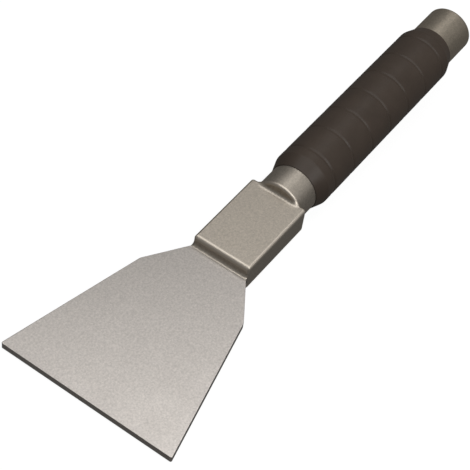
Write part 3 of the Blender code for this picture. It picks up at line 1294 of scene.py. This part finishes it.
@dataclass(frozen=True)
class GripSleeve:
    """The moulded sleeve: tapered at both ends, with seven narrow grooves round it."""

    sizes: Sizes
    exposed_collar: float = 0.0145
    exposed_tube: float = 0.0213
    radius: float = 0.0154
    taper_length: float = 0.0070
    lip: float = 0.00035
    shoulder_round: float = 0.0025
    groove_count: int = 7
    groove_margin: float = 0.0129
    groove_depth: float = 0.00032
    groove_half_width: float = 0.00070
    groove_reach: float = 2.4
    groove_rows: int = 21
    shoulder_reach: float = 0.001
    shoulder_step: float = 0.00025
    barrel_step: float = 0.0015
    bore_gap: float = 0.00005
    rim_bulge: float = 0.00008
    rim_share: float = 0.4
    columns: int = 160

    @property
    def start(self) -> float:
        """The sleeve's front end."""
        return self.sizes.collar_start + self.exposed_collar

    @property
    def end(self) -> float:
        """The sleeve's rear end."""
        return self.sizes.handle_end - self.exposed_tube

    def grooves(self) -> np.ndarray:
        """Where the grooves' middles are."""
        first = self.start + self.groove_margin
        return np.linspace(first, self.end - self.groove_margin, self.groove_count)

    def height(self, x: np.ndarray) -> np.ndarray:
        """The sleeve's radius at x.

        The two tapers and the barrel are a line with rounded corners. Each groove takes off a bell-shaped
        dip, depth * exp(-(distance / half width)^2).

        Args:
            x: places along the tool.

        Returns:
            The radius at each.
        """
        foot = self.sizes.tube_radius + self.lip
        corners = [
            (self.start, foot, 0.0),
            (self.start + self.taper_length, self.radius, self.shoulder_round),
            (self.end - self.taper_length, self.radius, self.shoulder_round),
            (self.end, foot, 0.0),
        ]
        away = (x[:, None] - self.grooves()[None, :]) / self.groove_half_width
        return rounded_line(x, corners) - self.groove_depth * np.exp(-(away**2)).sum(axis=1)

    def surface(self) -> Surface:
        """The outer height and the bore, turned about the centre line.

        Returns:
            The closed surface.
        """
        fine = np.linspace(-self.groove_reach, self.groove_reach, self.groove_rows)
        stations = [(self.grooves()[:, None] + fine * self.groove_half_width).reshape(-1)]
        for corner in (self.start + self.taper_length, self.end - self.taper_length):
            near, far = corner - self.shoulder_reach, corner + self.shoulder_reach
            stations.append(spread(near, far, self.shoulder_step))
        stations.append(spread(self.start, self.end, self.barrel_step))
        x = np.unique(np.round(np.concatenate(stations), 6))
        outer = np.stack([x, self.height(x)], axis=-1)
        bore = self.sizes.tube_radius + self.bore_gap
        rim = (self.start - self.rim_bulge, bore + self.lip * self.rim_share)
        profile = np.concatenate([outer, [(self.end, bore), (self.start, bore), rim]])
        return turned(profile, self.columns, closed=True)

    def build(self, axes: ToolAxes, finish: Finish) -> bpy.types.Object:
        """Makes and dresses the sleeve."""
        return finish_piece(self.surface().to_object("ribbed_sleeve", axes), "grip_sleeve", finish)


@dataclass(frozen=True)
class EndPlug:
    """The press-in plug: a shallow dished face inside a raised rim, and two gripping bands."""

    sizes: Sizes
    length: float = 0.0120
    recess: float = 0.0005
    chamfer: float = 0.0008
    relief: float = 0.0005
    band: float = 0.0035
    wall: float = 0.0020
    face_thickness: float = 0.0025
    dish_depth: float = 0.0006
    dish_power: int = 4
    dish_start: float = 0.0004
    dish_step: float = 0.0005
    rim_width: float = 0.0016
    rim_slope: float = 0.0002
    chamfer_rows: int = 6
    columns: int = 128

    def surface(self) -> Surface:
        """The plug's section, from the middle of its face out, round and back inside, turned.

        The face is dished by depth * (1 - (r / rim)^power).

        Returns:
            The closed surface.
        """
        radius = self.sizes.bore_radius - self.sizes.clearance
        face = self.sizes.handle_end - self.recess
        start = face - self.length
        rim = radius - self.rim_width
        r = spread(self.dish_start, rim, self.dish_step)
        dish = np.stack([face - self.dish_depth * (1 - (r / rim) ** self.dish_power), r], axis=-1)
        corner = (face - self.chamfer, radius - self.chamfer)
        shoulder = arc(corner, self.chamfer, 0, 90, self.chamfer_rows)
        relieved = radius - self.relief
        cup = relieved - self.wall
        bottom = face - self.face_thickness
        profile = np.concatenate(
            [
                dish,
                [(face, rim + self.rim_slope)],
                shoulder,
                [
                    (face - self.band, radius),
                    (face - self.band - self.relief, relieved),
                    (start + self.band + self.relief, relieved),
                    (start + self.band, radius),
                    (start + self.chamfer, radius),
                    (start, radius - self.chamfer),
                    (start, cup),
                    (bottom, cup),
                ],
            ]
        )
        return turned(profile, self.columns, closed=False)

    def build(self, axes: ToolAxes, finish: Finish) -> bpy.types.Object:
        """Makes and dresses the plug."""
        return finish_piece(self.surface().to_object("tube_end_plug", axes), "end_plug", finish)


# The studio


@dataclass(frozen=True)
class Lamp:
    """A square softbox that looks at the tool.

    Attributes:
        name: the lamp's name.
        towards: direction from the tool to the lamp.
        distance: in metres.
        size: of its side in metres.
        power: in watts.
    """

    name: str
    towards: tuple[float, float, float]
    distance: float
    size: float
    power: float

    def build(self, target: Vector) -> bpy.types.Object:
        """Makes the lamp, looking at the target.

        Args:
            target: the point that it looks at.

        Returns:
            The lamp.
        """
        light = bpy.data.lights.new(self.name, "AREA")
        light.shape = "SQUARE"
        light.size = self.size
        light.energy = self.power
        obj = bpy.data.objects.new(self.name, light)
        bpy.context.scene.collection.objects.link(obj)
        away = Vector(self.towards).normalized()
        obj.location = target + away * self.distance
        obj.rotation_euler = away.to_track_quat("Z", "Y").to_euler()
        return obj


@dataclass(frozen=True)
class Viewpoint:
    """Where the camera stands: round from -Y, up from the table, and turned about its own line of sight."""

    azimuth: float = -64.437
    elevation: float = 45.041
    roll: float = 12.796
    distance: float = 0.6980
    target: tuple[float, float, float] = (-0.04482, 0.00128, 0.01811)
    lens: float = 117.49
    sensor: float = 36.0
    clip_start: float = 0.01

    def build(self) -> bpy.types.Object:
        """Makes the camera and makes it the scene's own.

        Returns:
            The camera.
        """
        azimuth, elevation = math.radians(self.azimuth), math.radians(self.elevation)
        back = Vector(
            (
                math.sin(azimuth) * math.cos(elevation),
                -math.cos(azimuth) * math.cos(elevation),
                math.sin(elevation),
            )
        )
        right = Vector((0, 0, 1)).cross(back).normalized()
        up = back.cross(right)
        level = Matrix((right, up, back)).transposed()
        turn = Matrix.Rotation(math.radians(self.roll), 3, "Z")
        data = bpy.data.cameras.new("camera")
        data.lens = self.lens
        data.sensor_width = self.sensor
        data.clip_start = self.clip_start
        camera = bpy.data.objects.new("camera", data)
        bpy.context.scene.collection.objects.link(camera)
        place = Vector(self.target) + back * self.distance
        camera.matrix_world = Matrix.Translation(place) @ (level @ turn).to_4x4()
        bpy.context.scene.camera = camera
        return camera


@dataclass(frozen=True)
class Studio:
    """A pale floor that sweeps up into a backdrop, an overhead lamp, two weaker ones, and dim fill."""

    floor_radius: float = 2.2
    sweep_radius: float = 1.2
    wall_top: float = 4.5
    floor_drop: float = 0.0001
    first_ring: float = 0.05
    ring_step: float = 0.25
    bend_rows: int = 13
    columns: int = 96
    floor_glow: float = 0.94
    floor_colour: Colour = (0.14, 0.14, 0.14)
    floor_roughness: float = 0.9
    cloud_size: float = 0.6
    cloud_shade: float = 0.98
    fill: Colour = (0.115, 0.113, 0.110)
    lamps: tuple[Lamp, ...] = (
        Lamp("overhead_lamp", towards=(0.18, 0.16, 2.297), distance=2.310, size=2.2, power=25.5),
        Lamp("right_lamp", towards=(0.0, -1.0, 1.0), distance=1.414, size=0.8, power=7.0),
        Lamp("front_lamp", towards=(-0.84, 0.2, 0.46), distance=1.5, size=1.1, power=0.6),
    )
    viewpoint: Viewpoint = field(default_factory=Viewpoint)

    def sweep(self) -> Surface:
        """The backdrop's skin: a flat disc, a quarter circle and a wall, turned about the upright axis.

        Returns:
            The surface, closed overhead.
        """
        run = spread(self.first_ring, self.floor_radius, self.ring_step)
        flat = np.stack([np.full(len(run), -self.floor_drop), run], axis=-1)
        bend_centre = (self.sweep_radius - self.floor_drop, self.floor_radius)
        bend = arc(bend_centre, self.sweep_radius, 180, 90, self.bend_rows)[1:]
        wall = [(self.wall_top, self.floor_radius + self.sweep_radius)]
        profile = np.concatenate([flat, bend, wall])
        return upright(turned(profile, self.columns, closed=False), 0.0)

    def floor_material(self) -> bpy.types.Material:
        """A pale surface that glows a little, so that shadows on it stay faint.

        Returns:
            The floor's material.
        """
        sheet = NodeSheet("pale_floor")
        shader = sheet.shader
        cloud = sheet.noise(self.cloud_size, detail=2.0)
        darker = shaded(self.floor_colour, self.cloud_shade)
        tint = sheet.blend(sheet.remap(cloud, 0.0, 1.0), self.floor_colour, darker)
        sheet.join(tint, shader.inputs["Base Color"])
        shader.inputs["Roughness"].default_value = self.floor_roughness
        shader.inputs["Specular IOR Level"].default_value = 0.0
        shader.inputs["Emission Color"].default_value = (1.0, 1.0, 1.0, 1.0)
        shader.inputs["Emission Strength"].default_value = self.floor_glow
        return sheet.material

    def build(self) -> None:
        """Makes the backdrop, the lamps, the fill light and the camera."""
        level = ToolAxes(np.zeros(3), np.eye(3))
        floor = self.sweep().to_object("pale_floor", level)
        floor.data.materials.append(self.floor_material())
        # The tool neither mirrors the pale floor nor is lit by it, so its sides stay dark.
        floor.visible_diffuse = False
        floor.visible_glossy = False
        floor.visible_shadow = False
        target = Vector(self.viewpoint.target)
        for lamp in self.lamps:
            lamp.build(target)
        world = bpy.data.worlds.new("fill")
        world.use_nodes = True
        background = world.node_tree.nodes["Background"]
        background.inputs["Color"].default_value = (*self.fill, 1.0)
        bpy.context.scene.world = world
        bpy.context.scene.view_settings.view_transform = "Standard"
        self.viewpoint.build()
        LOG.info("studio: %d lamps", len(self.lamps))


# The whole tool


def corners(bounds: tuple[Vector, Vector]) -> list[list[float]]:
    """A box as two plain lists of numbers."""
    return [list(corner) for corner in bounds]


BLADE_FINISH = BlastedSteel(Slot.BLADE_STEEL, colour=(0.640, 0.598, 0.560), roughness=0.34)
BOLSTER_FINISH = BlastedSteel(Slot.CAST_STEEL, colour=(0.620, 0.560, 0.483), roughness=0.46)
TUBE_FINISH = BlastedSteel(
    Slot.TUBE_STEEL, colour=(0.680, 0.600, 0.490), roughness=0.42, pit_depth=0.00002
)
SCREW_FINISH = BlastedSteel(
    Slot.SCREW_STEEL, colour=(0.48, 0.47, 0.46), roughness=0.33, pit_depth=0.00001
)
PIN_FINISH = BlastedSteel(Slot.PIN_STEEL, colour=(0.42, 0.42, 0.43), roughness=0.35, pit_depth=0.00001)
GRIP_FINISH = MouldedRubber(
    Slot.GRIP_RUBBER, colour=(0.064, 0.049, 0.039), dusty=(0.074, 0.056, 0.044), roughness=0.36
)
PLUG_FINISH = MouldedPlastic(Slot.PLUG_PLASTIC, colour=(0.012, 0.012, 0.013), roughness=0.5)


def main() -> None:
    """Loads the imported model, builds each piece round it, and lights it."""
    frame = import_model()
    sizes = Sizes()
    top_point = (sizes.blade_length + sizes.bolster_length / 2, 0.0, sizes.bolster_height / 2)
    axes = ToolAxes.from_record(frame["record"], top_point)
    Blade(sizes).build(axes, BLADE_FINISH)
    Bolster(sizes).build(axes, BOLSTER_FINISH)
    HandleTube(sizes).build(axes, TUBE_FINISH)
    BladeScrews(sizes).build(axes, SCREW_FINISH)
    GripSleeve(sizes).build(axes, GRIP_FINISH)
    EndPlug(sizes).build(axes, PLUG_FINISH)
    pin = frame["nodes"]["tube_pin"]
    pin.data.materials.clear()
    pin.data.materials.append(PIN_FINISH.material())
    LOG.info("tube_pin: the packed node, dressed")
    Studio().build()


if __name__ == "__main__":
    logging.basicConfig(level=logging.INFO, format="%(message)s")
    main()
